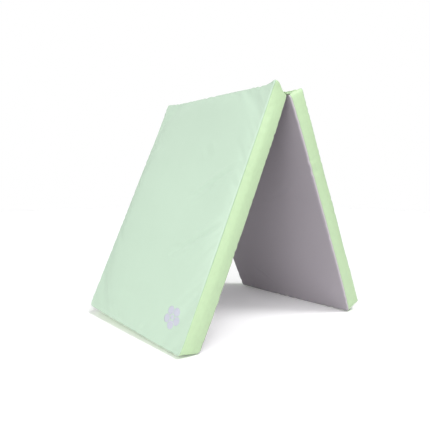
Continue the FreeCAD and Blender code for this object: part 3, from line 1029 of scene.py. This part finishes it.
def make_hinge_strip():
    """The strip, with its ends rounded off and a slight waver along its length."""
    section = strip_section()
    middle = np.mean(section, axis=0)
    ys = np.linspace(-STRIP_HALF, STRIP_HALF, STRIP_STATIONS)
    ys[1] = ys[0] + STRIP_ROUNDING
    ys[-2] = ys[-1] - STRIP_ROUNDING
    scales = [0.72, 0.95] + [1] * (STRIP_STATIONS - 4) + [0.95, 0.72]
    lifts = STRIP_WAVER * waves(np.random.default_rng(5), 40 * MM, 160 * MM, 5, ys)
    rings = []
    for y, scale, lift in zip(ys, scales, lifts):
        ring = []
        for x, z in section:
            near_axis = math.exp(-(x / (6 * MM)) ** 2)
            ring.append((x, y, middle[1] + (z - middle[1]) * scale + lift * near_axis))
        rings.append(ring)
    points, faces = lofted(rings)
    strip = mesh_object("hinge_strip_fabric", points, faces)
    seam_dust_and_shade = strip.data.attributes.new("seam_dust_and_shade", "FLOAT", "POINT")
    # Painted shade along the ridge line, where the strip folds over.
    shade = [0.55 if abs(point[0]) < 0.1 * MM else 0 for point in points]
    seam_dust_and_shade.data.foreach_set("value", shade)
    mark_places(strip)
    strip.data.materials.append(MATERIALS["green_vinyl"])
    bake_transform(strip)
    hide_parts("hinge_strip")


make_hinge_strip()


# ---- Small repeated pieces: stitches and zip teeth, each copied from one template
def bar_template(length, width, height, sides, taper):
    """A rounded bar along Y, closed at both ends: points and faces."""
    rings = []
    for share, size in [(-0.5, taper), (-0.36, 0.85), (0, 1), (0.36, 0.85), (0.5, taper)]:
        ring = []
        for k in range(sides):
            angle = -2 * math.pi * (k + 0.5) / sides
            ring.append((height / 2 * size * math.cos(angle), share * length,
                         width / 2 * size * math.sin(angle)))
        rings.append(ring)
    points, faces = lofted(rings)
    return np.array(points), faces


def copies(name, template, places):
    """One object of many copies of a template, each moved to a place."""
    points, faces = template
    all_points = np.concatenate([points + np.array(place) for place in places])
    all_faces = []
    for number in range(len(places)):
        start = number * len(points)
        all_faces += [[start + index for index in face] for face in faces]
    return mesh_object(name, all_points, all_faces)


STITCH_LENGTH = 3.0 * MM
STITCH_PITCH = 4.2 * MM
STITCH_ROWS = [11.5 * MM, 15.0 * MM]  # levels on the wall, from the base up
STITCH_SURFACE = 3.65 * MM


def make_hinge_stitches(side):
    """Two rows of topstitching that hold the strip to the hinge wall."""
    template = bar_template(STITCH_LENGTH, 0.55 * MM, 0.5 * MM, 6, 0.35)
    count = int(2 * (STRIP_HALF - 5 * MM) / STITCH_PITCH)
    ys = [(number - (count - 1) / 2) * STITCH_PITCH for number in range(count)]
    places = [(STITCH_SURFACE, y, level) for level in STITCH_ROWS for y in ys]
    stitches = copies(side + "_hinge_stitches", template, places)
    finish_piece(stitches, side, "thread")


TOOTH_PITCH = 2.0 * MM
TOOTH_SPAN = 3.5 * MM  # across the chain, so opposite teeth interlock
TOOTH_OFFSET = 0.75 * MM


def make_zip_teeth(side):
    """The closed coil: bars that reach over from each tape in turn."""
    low, high = panel_box(side + "_zip_chain", side)
    middle_x = (low[0] + high[0]) / 2
    points, faces = bar_template(TOOTH_SPAN, 1.5 * MM, high[0] - low[0], 8, 0.5)
    across = np.stack([points[:, 0], -points[:, 2], points[:, 1]], axis=1)
    count = int((high[1] - low[1]) / TOOTH_PITCH)
    places = []
    for number in range(2 * count - 1):
        y = low[1] + (number + 1) * TOOTH_PITCH / 2
        offset = -TOOTH_OFFSET if number % 2 else TOOTH_OFFSET
        places.append((middle_x, y, MID_LEVEL + offset))
    teeth = copies(side + "_zip_teeth", (across, faces), places)
    finish_piece(teeth, side, "zip_chain", nodes=[side + "_zip_chain"])


GUARD_PLACE = 9.2 * MM  # behind the slider's way, in front of the foam
GUARD_WIDTH = 16 * MM
GUARD_THICKNESS = 0.6 * MM


def make_zip_guard(side):
    """The flap of cover cloth behind a zip, which keeps it off the foam."""
    length = 2 * (SLOT_END + 6 * MM)
    template = bar_template(length, GUARD_WIDTH, GUARD_THICKNESS, 8, 0.8)
    guard = copies(side + "_zip_guard", template, [(GUARD_PLACE, 0, MID_LEVEL)])
    finish_piece(guard, side, "green_vinyl")


def dress_cad_node(node, material, rounding=0.0):
    """A CAD node that stays: its material, and its edges rounded a little."""
    made = frame["nodes"][node]
    made.data.materials.clear()
    made.data.materials.append(material)
    if rounding:
        bevel = made.modifiers.new("rounded_edges", "BEVEL")
        bevel.width = rounding
        bevel.segments = 2
        bevel.limit_method = "ANGLE"


for side in PLACES:
    make_hinge_stitches(side)
    make_zip_teeth(side)
    make_zip_guard(side)
    dress_cad_node(side + "_zip_tape", TAPE_MATERIALS[side])
    dress_cad_node(side + "_zip_slider", MATERIALS["zip_metal"], 0.45 * MM)
    dress_cad_node(side + "_zip_pull", MATERIALS["zip_metal"], 0.25 * MM)


# ---- Printed mark: a plain five-petal flower, laid on the cover's own surface
PETAL_REACH = 25 * MM  # from the middle to the middle of a petal
PETAL_RADIUS = 16 * MM
PETAL_START = 12 * MM
PETAL_HALF_TURN = math.radians(36)
PETAL_EDGE = 0.985  # of the half turn, where a petal's side is taken to end
PETAL_GAP = 1.1 * MM  # half the bare line between two petals
HEART_RADIUS = 8.5 * MM
PRINT_PROUD = 0.28 * MM
PRINT_FILM = 0.1 * MM


def petal_edge(angle):
    """How far out a petal goes, at an angle from the petal's own direction."""
    across = PETAL_REACH * math.sin(angle)
    return PETAL_REACH * math.cos(angle) + math.sqrt(max(PETAL_RADIUS ** 2 - across ** 2, 0))


def petal_grid(direction, columns=15, rows=9):
    """Points and faces of one petal, about the flower's middle."""
    points, faces = [], []
    for row in range(rows):
        for column in range(columns):
            share = column / (columns - 1) * 2 - 1
            start, end = PETAL_START, petal_edge(share * PETAL_HALF_TURN * PETAL_EDGE)
            reach = start + (end - start) * row / (rows - 1)
            angle = share * (PETAL_HALF_TURN - PETAL_GAP / reach)
            points.append((reach * math.cos(direction + angle),
                           reach * math.sin(direction + angle)))
    for row in range(rows - 1):
        for column in range(columns - 1):
            corner = row * columns + column
            faces.append([corner, corner + columns, corner + columns + 1, corner + 1])
    return points, faces


def heart_grid(segments=32, rings=4):
    """Points and faces of the round middle of the flower."""
    circles = []
    for ring in range(1, rings + 1):
        reach = HEART_RADIUS * ring / rings
        turns = [-2 * math.pi * k / segments for k in range(segments)]
        circles.append([(reach * math.cos(turn), reach * math.sin(turn)) for turn in turns])
    points, faces = lofted(circles)
    return points, faces[:-1]


def make_print_mark():
    """Lays each part of the flower on the left top cover, as a thin closed film."""
    middle_x, middle_y, _ = sum(panel_box("print_mark", "left")) / 2
    surface = TOP_PIECES["left"].data
    tree = BVHTree.FromPolygons([place.vector for place in surface.attributes["place"].data],
                                [polygon.vertices[:] for polygon in surface.polygons])
    flat, faces = heart_grid()
    for number in range(5):
        petal, petal_faces = petal_grid(math.radians(72 * number))
        start = len(flat)
        flat += petal
        faces += [[start + index for index in face] for face in petal_faces]
    points = []
    for x, y in flat:
        above = Vector((middle_x + x, middle_y + y, TOP + 50 * MM))
        hit, _, _, _ = tree.ray_cast(above, Vector((0, 0, -1)))
        points.append(hit + Vector((0, 0, PRINT_PROUD)))
    mark = mesh_object("printed_flower", points, faces)
    film = mark.modifiers.new("film_thickness", "SOLIDIFY")
    film.thickness = PRINT_FILM
    film.offset = -1
    finish_piece(mark, "left", "print_ink", nodes=["print_mark"])


make_print_mark()


# ---- Stage: floor, light and camera
WORLD_LIGHT = 0.22
# Soft lamps far away: (name, the way the light travels, strength, spread in degrees).
SUNS = [
    ("front_light", (-0.10, 0.40, -0.91), 1.7, 20),
    ("side_light", (0.84, 0.30, -0.45), 1.15, 60),
    ("low_front_light", (0.80, 0.50, -0.33), 0.9, 26),
    ("back_light", (0.10, -0.80, -0.59), 0.4, 40),
]
# Soft boxes: (name, place, aim, side, power). The first lights the bands, less towards
# the floor, and the second lights the left panel, most in its middle.
BOXES = [
    ("soft_box", (0, -1.4, 1.75), (0, -0.35, 0.6), 0.8, 7.5),
    ("side_box", (-1.1, -0.1, 0.72), (-0.28, -0.1, 0.42), 0.5, 1.3),
]
FLOOR_GLOW = 0.07  # a lit floor, so that it stays white round the shadow
FLOOR_REACH = 8
WHITE = (1, 1, 1, 1)

floor = mesh_object("floor", [(x * FLOOR_REACH, y * FLOOR_REACH, 0)
                              for x, y in ((-1, -1), (1, -1), (1, 1), (-1, 1))], [[0, 1, 2, 3]])
floor_look = Surface("floor_paper", roughness=0.9)
floor_look.colour(floor_look.blend(floor_look.noise(1.2), srgb(250, 250, 251), srgb(253, 253, 253)))
mark_places(floor)
feed(floor_look.shader, {"Emission Color": WHITE, "Emission Strength": FLOOR_GLOW})
floor.data.materials.append(floor_look.material)

# The backdrop is white, and lights the object less than it shows.
world = bpy.data.worlds.new("studio")
scene.world = world
world.use_nodes = True
seen = add_node(world.node_tree, "ShaderNodeLightPath").outputs["Is Camera Ray"]
strength = add_node(world.node_tree, "ShaderNodeMapRange",
                    {"Value": seen, "To Min": WORLD_LIGHT, "To Max": 1.0})
feed(world.node_tree.nodes["Background"], {"Color": WHITE, "Strength": strength.outputs["Result"]})


def add_lamp(name, kind, strength, towards):
    """A lamp that shines in a direction."""
    light = bpy.data.lights.new(name, kind)
    light.energy = strength
    lamp = bpy.data.objects.new(name, light)
    lamp.rotation_euler = Vector(towards).to_track_quat("-Z", "Y").to_euler()
    scene.collection.objects.link(lamp)
    return lamp


for name, towards, strength, softness in SUNS:
    add_lamp(name, "SUN", strength, towards).data.angle = math.radians(softness)

for name, place, aim, side, power in BOXES:
    lamp = add_lamp(name, "AREA", power, Vector(aim) - Vector(place))
    lamp.data.size = side
    lamp.location = place

# The camera's lens and place were fitted to the corners of the panels in the photo.
camera = bpy.data.cameras.new("camera")
camera.sensor_width = 36
camera.lens = 39.07
camera_object = bpy.data.objects.new("camera", camera)
camera_object.matrix_world = (
    Matrix.Translation((-1.3380, -1.5538, 0.5688))
    @ Matrix.Rotation(math.radians(-39.22), 4, "Z")
    @ Matrix.Rotation(math.radians(86.13), 4, "X")
    @ Matrix.Rotation(math.radians(0.29), 4, "Z")
)
scene.collection.objects.link(camera_object)
scene.camera = camera_object
scene.view_settings.view_transform = "Standard"
